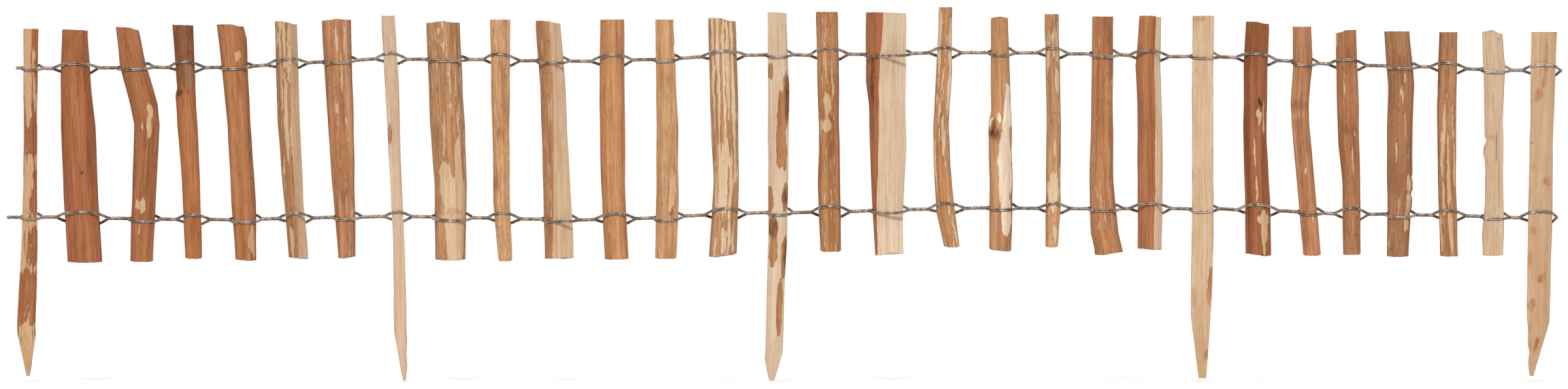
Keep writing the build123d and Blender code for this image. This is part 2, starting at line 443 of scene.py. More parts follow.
def knotsAt(piece, across, height, facing, outward):
    # how far knots and bites lift the wood, and how dark the knots are, at one place
    lift = 0.0
    dark = 0.0
    for knotAcross, knotHeight, size, rise, darkness in piece.get("knots", []):
        away = math.hypot(across - knotAcross, (height - knotHeight) * reliefLook["knotSquash"]) / size
        lift += rise * mm * facing * math.exp(-away * away)
        dark = max(dark, darkness * facing * (1 - ease(away, *reliefLook["knotEdge"])))
    for side, biteHeight, halfHeight, depth in piece.get("bites", []):
        share = ease(side * outward.x, *reliefLook["biteSide"])
        away = abs(height - biteHeight) / halfHeight
        lift -= depth * mm * share * (1 - ease(away, *reliefLook["biteEdge"]))
    return lift, dark


def unevenAt(outward, z, phase):
    lumpX, lumpY, lumpZ = reliefLook["lumpScale"]
    ribX, ribY, ribZ = reliefLook["ribScale"]
    lump = noise.noise(Vector((outward.x * lumpX + phase, outward.y * lumpY, z * lumpZ)))
    rib = noise.noise(Vector((outward.x * ribX + phase, outward.y * ribY, z * ribZ)))
    return lump * reliefLook["lump"] + rib * reliefLook["rib"]


def makeUpright(piece):
    node = piece["node"]
    isStake = node.startswith("stake")
    surface = surfaceOf(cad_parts[node])
    low, high = (Vector(corner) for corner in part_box(node))
    rings = round((high.z - low.z) / rolled["ringStep"])
    boxMiddle = (low.x + high.x) / 2
    levels = [between(low.z, high.z, ring / rings) for ring in range(rings + 1)]
    lowest, highest = low.z + rolled["footClear"], high.z - rolled["topClear"]
    safe = [min(max(level, lowest), highest) for level in levels]
    spans = [spanAt(surface, boxMiddle, level) for level in safe]
    middles = smoothed([middle for middle, halfWidth in spans], rolled["axisReach"])
    arrises = middles
    if piece["kind"] == "ridge":
        found = [arrisAt(surface, span, level) for span, level in zip(spans, safe)]
        arrises = smoothed(found, rolled["arrisReach"])
    topAcross = spans[-1][1] * rolled["topShare"]
    tops = []
    for side in (-1, 1):
        above = Vector((middles[-1] + side * topAcross, 0, high.z + rayStart / 2))
        tops.append(surface.ray_cast(above, Vector((0, 0, -1)))[0].z)

    bm = bmesh.new()
    bmesh.ops.create_grid(bm, x_segments=rolled["columns"], y_segments=rings, size=1)
    grainLayer = bm.verts.layers.float_vector.new("grain")
    barkLayer = bm.verts.layers.float_color.new("barkTone")
    paleLayer = bm.verts.layers.float_color.new("paleTone")
    peelLayer = bm.verts.layers.float.new("peel")
    knotAndCutShadeLayer = bm.verts.layers.float.new("knotAndCutShade")
    sawnLayer = bm.verts.layers.float.new("sawn")
    phase = piece["seed"] * rolled["seedTurn"]
    frontmost, backmost = cadLow[1] + wireRoom, cadHigh[1] - wireRoom
    for vert in bm.verts:
        turn = math.pi * vert.co.x  # zero faces the front
        ring = round((vert.co.y + 1) / 2 * rings)
        outward = Vector((math.sin(turn), -math.cos(turn), 0))
        foot, top = cutLevels(piece, outward, low.z, tops, phase)
        z = between(foot, top, ring / rings)
        middle = middles[ring]
        inside = min(max(z, low.z + rolled["footInside"]), top - rolled["topInside"])
        axis = Vector((middle, 0, inside))
        found, normal = surface.ray_cast(axis + outward * rayStart, -outward)[:2]
        if found is None:
            found, normal = axis + outward * spans[ring][1], outward
        across, height = wavered((found.x - middle) / mm, z / mm, phase)
        facing = ease(-outward.y, *rolled["facing"])

        peel, barkTone, paleTone = paintAt(piece, across, height, facing, phase)
        peel += splitLook["weight"] * splitShare(piece["kind"], normal, found.x - arrises[ring])
        lift, dark = knotsAt(piece, across, height, facing, outward)
        # painted shade: the wood darkens within a few mm of the top, and of a stake's foot
        toCut = min(top - z, z - foot) if isStake else top - z
        dark = max(dark, cutLook["cutShade"] * (1 - ease(toCut, 0, cutLook["cutShadeHeight"])))
        toEnd = ease(min(z - foot, top - z), 0, reliefLook["calmLength"])
        calm = between(reliefLook["calmShare"], 1, toEnd)
        radius = (found - axis).length + lift + unevenAt(outward, z, phase) * calm
        place = Vector((middle, 0, z)) + outward * radius
        vert.co = (place.x, min(max(place.y, frontmost), backmost), place.z)
        rise = piece["seed"] * rolled["seedRise"]
        vert[grainLayer] = Vector((outward.x * radius, outward.y * radius, z + rise))
        vert[barkLayer] = barkTone
        vert[paleLayer] = paleTone
        vert[peelLayer] = peel
        vert[knotAndCutShadeLayer] = dark
        isHewn = normal.z < cutLook["hewnTilt"] and height < cutLook["hewnHeight"]
        vert[sawnLayer] = cutLook["hewnShow"] if isHewn else 0.0

    seam = [vert for vert in bm.verts if vert.is_boundary]
    bmesh.ops.remove_doubles(bm, verts=seam, dist=rolled["seam"])
    rims = [edge for edge in bm.edges if edge.is_boundary]
    ends = bmesh.ops.holes_fill(bm, edges=rims, sides=0)["faces"]
    width, depth = cutLook["insetWidth"], -cutLook["insetDepth"]
    bmesh.ops.inset_individual(bm, faces=ends, thickness=width, depth=depth, use_even_offset=True)
    for face in ends:
        for vert in face.verts:
            vert[sawnLayer] = 1.0
            vert[knotAndCutShadeLayer] = 0.0
    bmesh.ops.recalc_face_normals(bm, faces=bm.faces)
    for face in bm.faces:
        face.smooth = True
    mesh = bpy.data.meshes.new(node + "_wood")
    bm.to_mesh(mesh)
    bm.free()
    mesh.set_sharp_from_angle(angle=math.radians(rolled["sharpAngle"]))
    wood = bpy.data.objects.new(node + "_wood", mesh)
    bpy.context.scene.collection.objects.link(wood)
    isPale = piece["kind"] == "slat" or not isStake
    slot = "pale_split_wood" if isPale else "brown_bark_wood"
    mesh.materials.append(finishes[slot])
    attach(wood, "root")
    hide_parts(node)
    return wood


# what a piece's dictionary holds, in mm from its middle and from the ground:
# kind: round has bark all round, half and quarter are split behind, ridge also right of its arris,
# and slat is split in front; seed: shifts the grain and the noise
# bark and pale: tones of the bark and of the wood; streaks: how far the bark is gone all over
# foot: how far the foot rises at the left and right; corners: how far the top drops there
# ragged: how uneven the foot is
# patches: across, height, half width, half height, and how far the bark is gone (minus puts it back)
# stainsAndPaintedLight: across, height, half width, half height, tone and strength; most mark stained wood,
# and stake_04's paint light and shade down its sides
# knots: across, height, size, rise and darkness
# bites: side (-1 is left), height, half height and depth
uprights = []

leftEndPost = {
    "node": "left_end_post", "kind": "quarter", "seed": 1,
    "bark": (166, 104, 68), "pale": (212, 170, 127), "streaks": 0.2,
    "patches": [
        (8, 442, 6, 20, -0.4), (9, 400, 4, 26, -0.3), (-5, 420, 5, 40, 0.2), (4, 312, 8, 24, -0.42),
        (9, 258, 3, 14, -0.35), (6, 234, 6, 18, -0.4), (6, 175, 8, 24, -0.3),
        (0, 105, 18, 34, -0.5), (1, 88, 4, 20, 0.35),
    ],
}
uprights.append(makeUpright(leftEndPost))

stake01 = {
    "node": "stake_01", "kind": "half", "seed": 2,
    "bark": (173, 107, 70), "pale": (206, 160, 118), "streaks": -0.24,
    "knots": [
        (3, 269, 3.5, 0.4, 0.8), (16, 268, 3, 0.3, 0.5), (2, 394, 2.5, 0.3, 0.6),
        (-12, 330, 2.5, 0.2, 0.4),
    ],
}
uprights.append(makeUpright(stake01))

stake02 = {
    "node": "stake_02", "kind": "round", "seed": 3,
    "bark": (171, 110, 73), "pale": (220, 182, 140), "streaks": -0.17, "corners": (0, 3),
    "patches": [
        (7.5, 347, 4, 12, 0.55), (4, 325, 3.6, 15, 0.5), (-5.5, 328, 1.8, 6, 0.5),
        (-7, 227, 5, 6, 0.42), (-1, 224, 4, 12, 0.45), (-4, 195, 1.6, 10, 0.45),
    ],
    "knots": [(-2, 328, 3, 0.8, 0.8), (-2, 420, 5, 0.5, 0.3)],
}
uprights.append(makeUpright(stake02))

stake03 = {
    "node": "stake_03", "kind": "quarter", "seed": 4,
    "bark": (178, 113, 73), "pale": (198, 168, 146), "streaks": -0.2,
    "patches": [(3, 384, 2, 12, 0.4), (6, 398, 2, 9, 0.3)],
    "stainsAndPaintedLight": [(0, 432, 24, 62, (130, 86, 62), 0.95), (4, 392, 5, 20, (176, 140, 112), 0.6)],
    "knots": [
        (-8, 369, 6, 1.0, 0.75), (3, 370, 4, 0.2, 0.6), (8, 425, 3, 0.5, 0.6),
        (9, 245, 2.5, 0.2, 0.5),
    ],
}
uprights.append(makeUpright(stake03))

stake04 = {
    "node": "stake_04", "kind": "half", "seed": 5,
    "bark": (180, 117, 78), "pale": (216, 174, 130), "streaks": -0.18, "foot": (1.5, 0),
    "corners": (0, 3),
    "patches": [(6.5, 416, 5, 7, 0.6), (13, 296, 3, 14, 0.35), (11, 180, 6, 26, 0.5)],
    # a painted highlight down the left side and painted shade down the right
    "stainsAndPaintedLight": [(-11, 310, 8, 160, (198, 136, 92), 0.5), (13, 330, 6, 150, (150, 94, 60), 0.5)],
    "knots": [(-8, 333, 3, 0.3, 0.4), (8, 262, 2.5, 0.2, 0.4)],
}
uprights.append(makeUpright(stake04))

stake05 = {
    "node": "stake_05", "kind": "ridge", "seed": 6,
    "bark": (184, 130, 91), "pale": (223, 188, 151), "streaks": 0.02, "foot": (2.5, 0),
    "corners": (0, 2),
    "patches": [
        (-3, 335, 2.5, 58, 0.5), (-9, 430, 1.8, 40, 0.45), (-3.5, 440, 1.5, 36, 0.45),
        (2, 425, 1.5, 50, 0.4), (-11, 350, 1.5, 30, 0.3), (-6, 182, 3, 18, 0.4),
        (-4, 240, 10, 50, -0.12),
    ],
    "stainsAndPaintedLight": [(9, 200, 9, 50, (198, 152, 110), 0.6)],
}
uprights.append(makeUpright(stake05))

stake06 = {
    "node": "stake_06", "kind": "half", "seed": 7,
    "bark": (190, 132, 94), "pale": (219, 182, 142), "streaks": -0.07, "foot": (0, 2),
    "corners": (2, 1),
    "patches": [
        (-3, 350, 2, 9, 0.45), (8, 333, 2, 7, 0.45), (4, 400, 1.5, 26, 0.35),
        (10, 440, 1.5, 20, 0.35), (10, 217, 2, 5, 0.5), (0, 435, 1.5, 16, 0.35),
    ],
    "stainsAndPaintedLight": [(13, 310, 7, 150, (212, 160, 120), 0.5)],
}
uprights.append(makeUpright(stake06))

leftMiddlePost = {
    "node": "left_middle_post", "kind": "slat", "seed": 8,
    "bark": (178, 126, 90), "pale": (219, 188, 159), "streaks": 0.1,
    "patches": [(-5, 317, 2.6, 14, -0.85)],
    "knots": [(-4, 68, 3, 0.2, 0.4), (4, 208, 2, 0.2, 0.3)],
    "bites": [(1, 24, 26, 2.5)],
}
uprights.append(makeUpright(leftMiddlePost))

stake07 = {
    "node": "stake_07", "kind": "half", "seed": 9,
    "bark": (192, 139, 98), "pale": (224, 188, 150), "streaks": 0.01, "corners": (2, 2),
    "patches": [
        (5, 225, 16, 50, 0.6), (-6, 258, 8, 22, 0.5), (12, 290, 4, 22, 0.4), (4, 276, 3, 18, -0.7),
        (-17, 240, 4, 45, -0.5), (-14, 178, 8, 32, -0.9), (8, 175, 13, 26, 0.5),
        (-6, 452, 2, 5, 0.5),
    ],
    "stainsAndPaintedLight": [(2, 217, 14, 3.5, (192, 140, 90), 0.7), (-12, 226, 5, 10, (150, 98, 64), 0.6)],
    "knots": [(0, 436, 6, 0.4, 0.25)],
}
uprights.append(makeUpright(stake07))

stake08 = {
    "node": "stake_08", "kind": "quarter", "seed": 10,
    "bark": (206, 156, 114), "pale": (224, 188, 150), "streaks": -0.02,
    "stainsAndPaintedLight": [(0, 318, 5, 8, (170, 114, 76), 0.7), (-6, 253, 5, 10, (172, 112, 74), 0.7)],
}
uprights.append(makeUpright(stake08))

stake09 = {
    "node": "stake_09", "kind": "ridge", "seed": 11,
    "bark": (193, 137, 98), "pale": (229, 195, 158), "streaks": -0.02, "corners": (0, 2),
}
uprights.append(makeUpright(stake09))

stake10 = {
    "node": "stake_10", "kind": "half", "seed": 12,
    "bark": (199, 141, 98), "pale": (220, 180, 138), "streaks": -0.2,
    "patches": [(3, 228, 1.2, 20, 0.3), (-8, 190, 1.2, 15, 0.3), (-11, 270, 1, 14, 0.3)],
}
uprights.append(makeUpright(stake10))

stake11 = {
    "node": "stake_11", "kind": "quarter", "seed": 13,
    "bark": (200, 148, 107), "pale": (222, 184, 142), "streaks": -0.1,
    "patches": [
        (6, 246, 3.2, 27, 0.5), (3, 232, 2, 14, 0.35), (-4, 300, 1, 22, 0.3),
        (0, 310, 12, 60, 0.04),
    ],
    "stainsAndPaintedLight": [(0, 306, 16, 70, (214, 165, 124), 0.6)],
    "knots": [(5, 218, 4.5, 0.7, 0.65), (8, 441, 4, 0.4, 0.4)],
    "bites": [(1, 428, 8, 1.2)],
}
uprights.append(makeUpright(stake11))

stake12 = {
    "node": "stake_12", "kind": "half", "seed": 14,
    "bark": (197, 145, 104), "pale": (233, 203, 169), "streaks": 0.0, "foot": (0, 4), "ragged": 1.6,
    "corners": (0, 3),
    "patches": [
        (-13, 420, 1.7, 90, 0.4), (-6.5, 410, 2, 100, 0.45), (0.5, 400, 1.8, 110, 0.4),
        (6, 400, 1.8, 90, 0.4), (11.5, 380, 2, 120, 0.4), (-2, 262, 15, 52, 0.3),
        (-11, 270, 1.5, 42, -0.45), (3, 246, 1.2, 32, -0.4), (9, 296, 1.4, 36, -0.4),
        (-5, 300, 1.2, 30, -0.35), (12, 240, 4, 14, -0.4), (-14, 210, 4, 16, -0.3),
        (5, 180, 10, 20, 0.15),
    ],
}
uprights.append(makeUpright(stake12))

centrePost = {
    "node": "centre_post", "kind": "quarter", "seed": 15,
    "bark": (178, 122, 82), "pale": (224, 196, 166), "streaks": 0.5,
    "patches": [
        (-10, 396, 4, 11, -0.8), (10, 362, 4, 36, -0.9), (4, 335, 7, 44, -0.75),
        (8, 292, 4, 22, -0.7), (9, 236, 4.5, 20, -0.9), (-11, 234, 4.5, 20, -0.75),
        (2, 300, 5, 26, -0.62), (-6, 194, 6, 18, -0.75), (-5, 166, 6, 20, -0.8),
        (9, 158, 3.5, 28, -0.9), (5, 95, 4, 38, -0.8),
    ],
    "stainsAndPaintedLight": [
        (11, 362, 4, 30, (92, 62, 44), 0.9), (9, 236, 3, 12, (96, 64, 46), 0.85),
        (-6, 196, 6, 14, (92, 62, 46), 0.85), (11, 160, 3, 20, (104, 70, 50), 0.8),
    ],
}
uprights.append(makeUpright(centrePost))

stake13 = {
    "node": "stake_13", "kind": "round", "seed": 16,
    "bark": (184, 127, 85), "pale": (220, 183, 142), "streaks": -0.03,
    "patches": [
        (-2, 357, 4, 11, 0.45), (-4, 328, 6, 8, 0.5), (-2, 342, 2, 10, 0.35), (0, 432, 12, 46, 0.1),
        (-3, 420, 1.2, 40, 0.25), (5, 385, 1, 30, 0.3),
    ],
    "stainsAndPaintedLight": [(0, 432, 18, 42, (208, 154, 112), 0.6)],
    "knots": [(-7, 322, 3, 0.4, 0.5)],
}
uprights.append(makeUpright(stake13))

stake14 = {
    "node": "stake_14", "kind": "ridge", "seed": 17,
    "bark": (186, 116, 76), "pale": (240, 213, 182), "streaks": -0.2, "foot": (0, 2),
    "stainsAndPaintedLight": [(-12, 383, 2.6, 34, (80, 48, 34), 0.85), (-13, 330, 2.2, 24, (110, 66, 46), 0.6)],
}
uprights.append(makeUpright(stake14))

stake15 = {
    "node": "stake_15", "kind": "round", "seed": 18,
    "bark": (197, 141, 99), "pale": (231, 199, 164), "streaks": -0.03,
    "patches": [
        (2, 318, 2.4, 24, 0.45), (-7, 440, 3, 38, 0.5), (7, 432, 3, 30, 0.5),
        (8, 370, 2.4, 30, 0.45), (-9, 285, 2, 30, 0.35), (-1, 270, 2.5, 30, -0.2),
        (7, 195, 1.5, 22, 0.35),
    ],
}
uprights.append(makeUpright(stake15))

stake16 = {
    "node": "stake_16", "kind": "round", "seed": 19,
    "bark": (192, 139, 98), "pale": (245, 222, 196), "streaks": -0.18, "foot": (2.5, 0),
    "corners": (2, 2),
    "patches": [
        (9, 362, 3, 22, 0.5), (8, 338, 6, 30, 0.6), (5, 272, 10, 52, 0.65), (7, 208, 7, 26, 0.55),
        (-11, 335, 3, 7, 0.55), (-2, 338, 3, 6, 0.5),
    ],
    "stainsAndPaintedLight": [
        (-8, 344, 6, 7, (206, 140, 86), 0.7), (-7, 317, 7, 10, (116, 64, 38), 0.95),
        (-8, 329, 2.4, 7, (118, 70, 42), 0.85), (-6, 300, 6, 14, (178, 118, 76), 0.5),
    ],
    "knots": [(-9, 319, 6, 2.0, 0.7), (-5, 315, 4, 0.5, 0.6), (-12, 334, 7, 2.4, 0.2)],
}
uprights.append(makeUpright(stake16))

stake17 = {
    "node": "stake_17", "kind": "round", "seed": 20,
    "bark": (202, 150, 108), "pale": (230, 198, 160), "streaks": -0.05,
    "patches": [
        (5, 385, 3, 16, 0.35), (0, 432, 10, 40, 0.12), (0, 244, 7, 24, 0.45), (4, 190, 3, 14, 0.35),
        (1, 300, 2, 12, 0.3),
    ],
    "knots": [(-1, 333, 5, 0.4, 0.4)],
}
uprights.append(makeUpright(stake17))

stake18 = {
    "node": "stake_18", "kind": "half", "seed": 21,
    "bark": (190, 131, 90), "pale": (222, 184, 144), "streaks": -0.05, "foot": (0, 4),
    "knots": [(12, 365, 7, 1.0, 0.3), (11, 378, 4, 0.5, 0.4)],
}
uprights.append(makeUpright(stake18))

stake19 = {
    "node": "stake_19", "kind": "ridge", "seed": 22,
    "bark": (180, 116, 78), "pale": (246, 216, 180), "streaks": -0.22, "foot": (1.5, 0),
    "corners": (0, 2),
}
uprights.append(makeUpright(stake19))

rightMiddlePost = {
    "node": "right_middle_post", "kind": "slat", "seed": 23,
    "bark": (176, 122, 82), "pale": (220, 187, 152), "streaks": 0.1,
    "patches": [(10, 122, 3.5, 30, -0.7), (-13, 262, 1.5, 10, -0.5)],
    "stainsAndPaintedLight": [
        (0, 60, 20, 75, (206, 164, 122), 0.6), (-10, 105, 5, 12, (184, 134, 90), 0.6),
        (-6, 466, 9, 3, (176, 122, 80), 0.6), (6, 33, 4, 7, (176, 118, 74), 0.7),
        (-9, 399, 4, 3, (184, 136, 96), 0.6),
    ],
    "knots": [(11, 374, 1.6, 0.2, 0.5), (7, 31, 2, 0.2, 0.5)],
}
uprights.append(makeUpright(rightMiddlePost))

stake20 = {
    "node": "stake_20", "kind": "half", "seed": 24,
    "bark": (163, 100, 65), "pale": (220, 184, 144), "streaks": -0.16, "foot": (3, 0),
    "corners": (0, 2),
    "patches": [
        (4, 344, 4, 7, 0.6), (5, 334, 2, 9, 0.5), (10, 340, 1.1, 28, 0.5),
        (-1.5, 292, 1.2, 20, 0.5), (-1, 245, 1.3, 20, 0.5), (7, 209, 9, 8, 0.6),
        (8, 190, 4.5, 18, 0.6), (8, 172, 2.2, 14, 0.5),
    ],
    "stainsAndPaintedLight": [(-12, 300, 3, 120, (140, 82, 52), 0.6), (0, 440, 20, 24, (146, 88, 56), 0.5)],
    "knots": [(5, 358, 4, 0.6, 1.0), (3, 217, 3, 0.3, 0.7)],
}
uprights.append(makeUpright(stake20))

stake21 = {
    "node": "stake_21", "kind": "round", "seed": 25,
    "bark": (193, 134, 96), "pale": (230, 204, 176), "streaks": -0.17,
    "patches": [(1, 271, 1.6, 3, 0.9)],
    "stainsAndPaintedLight": [
        (0, 356, 14, 7, (156, 98, 66), 0.6), (-3, 343, 8, 8, (220, 170, 130), 0.6),
        (2, 300, 10, 10, (170, 112, 76), 0.5),
    ],
    "knots": [(-4, 292, 2.5, 0.3, 0.6), (5, 296, 2, 0.2, 0.5)],
}
uprights.append(makeUpright(stake21))

stake22 = {
    "node": "stake_22", "kind": "quarter", "seed": 26,
    "bark": (177, 120, 84), "pale": (216, 178, 140), "streaks": -0.15, "foot": (1, 1),
    "corners": (3, 0),
    "patches": [
        (8, 319, 2.2, 6, 0.6), (-13, 440, 2, 14, 0.4), (0, 195, 0.9, 30, 0.45),
        (4, 280, 0.9, 26, 0.35), (-4, 380, 0.9, 24, 0.35), (7, 215, 0.8, 20, 0.35),
    ],
    "stainsAndPaintedLight": [
        (0, 196, 20, 30, (150, 100, 70), 0.5), (2, 324, 12, 6, (140, 90, 62), 0.6),
        (-12, 260, 3, 90, (150, 98, 68), 0.5),
    ],
    "knots": [(2, 325, 4, 0.5, 0.5), (-9, 322, 3, 0.3, 0.6)],
}
uprights.append(makeUpright(stake22))

stake23 = {
    "node": "stake_23", "kind": "half", "seed": 27,
    "bark": (169, 115, 81), "pale": (220, 182, 142), "streaks": -0.08, "ragged": 0.3,
    "patches": [
        (13, 252, 4, 16, 0.55), (12, 226, 4, 16, 0.5), (10, 204, 4, 14, 0.5),
        (5, 390, 1.3, 7, 0.45), (1, 369, 1.2, 15, 0.45), (-5, 294, 1.3, 16, 0.5),
        (-13, 175, 1.6, 3, 0.6), (6, 330, 1, 22, 0.35),
    ],
    "stainsAndPaintedLight": [
        (-4, 262, 12, 26, (138, 88, 60), 0.6), (-8, 340, 5, 30, (146, 94, 64), 0.5),
        (3, 440, 14, 22, (196, 144, 104), 0.6), (-2, 172, 14, 10, (150, 98, 68), 0.5),
    ],
    "knots": [(14, 250, 4, 1.4, 0.0)],
    "bites": [(1, 238, 7, 2.2), (1, 215, 6, 1.8), (1, 264, 6, 1.2)],
}
uprights.append(makeUpright(stake23))

stake24 = {
    "node": "stake_24", "kind": "quarter", "seed": 28,
    "bark": (184, 130, 93), "pale": (218, 180, 142), "streaks": -0.06,
    "patches": [
        (-3, 332, 1.8, 28, 0.55), (7, 336, 1.6, 24, 0.5), (-6, 288, 1.9, 28, 0.55),
        (2, 250, 2.2, 28, 0.55), (-5, 236, 1.5, 22, 0.5), (2, 200, 2.4, 20, 0.55),
        (4, 176, 2.2, 14, 0.55), (9, 280, 1.3, 32, 0.45), (1, 300, 1.2, 26, 0.45),
        (-9, 190, 1.3, 26, 0.45),
    ],
    "stainsAndPaintedLight": [
        (-11, 420, 3, 60, (112, 70, 48), 0.8), (-11, 300, 2, 60, (130, 84, 58), 0.6),
        (0, 432, 14, 40, (150, 98, 68), 0.5),
    ],
}
uprights.append(makeUpright(stake24))

stake25 = {
    "node": "stake_25", "kind": "slat", "seed": 29,
    "bark": (178, 128, 92), "pale": (217, 186, 155), "streaks": 0.02, "corners": (3, 4),
    "stainsAndPaintedLight": [
        (3, 302, 0.8, 18, (140, 92, 60), 0.9), (-1, 356, 0.7, 15, (160, 112, 78), 0.8),
        (-5, 311, 7, 4, (194, 144, 102), 0.6), (-12, 298, 2, 8, (132, 88, 60), 0.8),
        (8, 441, 3, 3, (170, 118, 82), 0.6), (-8, 455, 8, 4, (188, 142, 104), 0.6),
        (6, 260, 0.7, 26, (178, 132, 94), 0.7), (-6, 230, 0.7, 22, (178, 132, 94), 0.7),
        (0, 400, 0.6, 26, (182, 136, 98), 0.7), (5, 190, 0.7, 22, (176, 130, 92), 0.7),
        (9, 340, 0.7, 18, (176, 130, 92), 0.7), (-12, 270, 7, 150, (194, 154, 118), 0.5),
    ],
    "knots": [(-13, 292, 7, 2.6, 0.15), (12, 408, 5, 1.6, 0.1)],
    "bites": [(-1, 312, 6, 2.4)],
}
uprights.append(makeUpright(stake25))

rightEndPost = {
    "node": "right_end_post", "kind": "slat", "seed": 30,
    "bark": (190, 142, 102), "pale": (210, 173, 138), "streaks": 0.06,
    "stainsAndPaintedLight": [
        (4, 408, 2.4, 34, (182, 126, 80), 0.8), (-5, 367, 6, 9, (192, 128, 76), 0.9),
        (1, 384, 3, 8, (190, 128, 78), 0.7), (8, 257, 6, 8, (182, 114, 64), 0.9),
        (-13, 305, 4, 2, (150, 100, 68), 0.8), (15, 281, 1.2, 9, (64, 42, 32), 0.9),
        (-8, 193, 4, 6, (196, 138, 86), 0.8), (-12, 157, 4, 14, (198, 140, 86), 0.85),
        (3, 132, 6, 7, (178, 110, 62), 0.9), (-9, 98, 5, 8, (188, 124, 72), 0.9),
        (-7, 74, 8, 16, (204, 160, 118), 0.6), (3, 47, 3, 10, (156, 94, 52), 0.85),
        (-10, 275, 4, 5, (190, 142, 100), 0.6), (-14, 330, 1.5, 60, (190, 144, 104), 0.5),
        (13, 240, 8, 240, (194, 152, 114), 0.45),
    ],
    "knots": [
        (8, 254, 2.5, 0.3, 0.5), (2, 128, 2, 0.3, 0.8), (-10, 160, 1.5, 0.1, 0.4),
        (2, 46, 2, 0.2, 0.5),
    ],
    "bites": [(-1, 26, 24, 4), (-1, 36, 44, 5)],
}
uprights.append(makeUpright(rightEndPost))
print("uprights made:", len(uprights))

# galvanised wire
wireLook = {
    "diameter": 1.92 * mm,
    "bevelSteps": 1,
    "zinc": tone(190, 175, 162),
    "dull": tone(128, 109, 95),
    "dullNoise": (1, 150, 4),
    "dullEdge": (0.34, 0.64),
    "spangleNoise": (1, 1500, 2),
    "spangle": 0.16,
    "metallic": 0.8,
    "roughness": 0.34,
}


def wireFinish(name):
    material = bpy.data.materials.new(name)
    material.use_nodes = True
    tree = material.node_tree
    shader = tree.nodes["Principled BSDF"]
    place = Link(tree).node("TexCoord", None, None, "Object")
    dulled = place.noise(*wireLook["dullNoise"]).step(*wireLook["dullEdge"])
    spangle = place.noise(*wireLook["spangleNoise"])
    tones = {0: dulled, 6: wireLook["zinc"], 7: wireLook["dull"]}  # as in Link.blend
    colour = place.node("Mix", {"data_type": "RGBA"}, tones, 2)
    rough = wireLook["roughness"] + spangle * wireLook["spangle"]
    tree.links.new(colour.socket, shader.inputs["Base Color"])
    tree.links.new(rough.socket, shader.inputs["Roughness"])
    shader.inputs["Metallic"].default_value = wireLook["metallic"]
    return material


galvanised = wireFinish("galvanised_wire")

# wire lines: heights in mm along the row, and the eyes where four wires part round an upright
lineLook = {
    "along": (-953, -720, -485, -240, 9, 285, 554, 775, 988),
    "upper": {"heights": (402, 403, 414, 411, 419, 422, 417, 405, 399), "ends": (-971, 1016)},
    "lower": {"heights": (210, 207, 211, 207, 216, 222, 221, 214, 210), "ends": (-983, 1011)},
    "lowEye": {"front": -3.2, "backLeft": 1.0, "backRight": 4.8, "leadLeft": 3.0, "leadRight": 8.5},
    "highEye": {"front": 7.0, "backLeft": -3.3, "backRight": -6.0, "leadLeft": 10.0, "leadRight": 12.0},
    "edgeShare": 0.72,  # of the front pair's rise, where it meets the wood
    "uneven": 2.4 * mm,
    "unevenScale": (1.7, 9, 3.1),
    "wobble": 0.9 * mm,
    "wobbleScale": (34, 9),
    "ropeRadius": 1.4 * mm,
    "pairStep": 0.96 * mm,
    "halfTurns": 3,
    "twistSteps": 30,
    "eyeStep": 1.2 * mm,
    "eyeLeast": 8,
    "bendReach": 1.2 * mm,  # rounds off the bends
    "seatClear": 0.15 * mm,
    "seatBand": 1.5 * mm,  # the wood counts this far above and below a pair
    "seatReach": 36,  # rays to each side of an upright's middle, 1 mm apart
    "endClear": 1.5 * mm,
    "tailSteps": 10,
    "tailTurns": (-1, 0.4),  # half turns of the loose ends
}


def lineHeight(line, x):
    stops = [stop * mm for stop in lineLook["along"]]
    heights = [height * mm for height in lineLook[line]["heights"]]
    x = min(max(x, stops[0]), stops[-1])
    for index in range(len(stops) - 1):
        if x <= stops[index + 1]:
            break
    alongScale, lineScale = lineLook["wobbleScale"]
    wobble = noise.noise(Vector((x * alongScale, heights[0] * lineScale, 0))) * lineLook["wobble"]
    share = ease(x, stops[index], stops[index + 1])
    return between(heights[index], heights[index + 1], share) + wobble


def tautOver(points):
    # the outer side of a set of points, as a pulled wire lies over them
    kept = []
    for x, y in sorted(points):
        while len(kept) > 1:
            (ax, ay), (bx, by) = kept[-2], kept[-1]
            if (bx - ax) * (y - ay) - (by - ay) * (x - ax) < 0:
                break
            kept.pop()
        kept.append((x, y))
    return kept


def alongPath(path, x):
    for (ax, ay), (bx, by) in zip(path, path[1:]):
        if x <= bx:
            break
    return between(ay, by, min(max((x - ax) / (bx - ax), 0), 1))


def seatsOn(surface, side, middle, pairHeight):
    # places where a wire would touch one side of an upright, as x and depth
    room = wireLook["diameter"] / 2 + lineLook["seatClear"]
    reach = lineLook["seatReach"]
    seats = []
    for offset in (-lineLook["seatBand"], 0, lineLook["seatBand"]):
        for step in range(-reach, reach + 1):
            start = Vector((middle + step * mm, side * rayStart, pairHeight + offset))
            found, normal = surface.ray_cast(start, Vector((0, -side, 0)))[:2]
            if found is not None:
                seat = found + normal * room
                seats.append((seat.x, max(side * seat.y, 0)))
    return seats


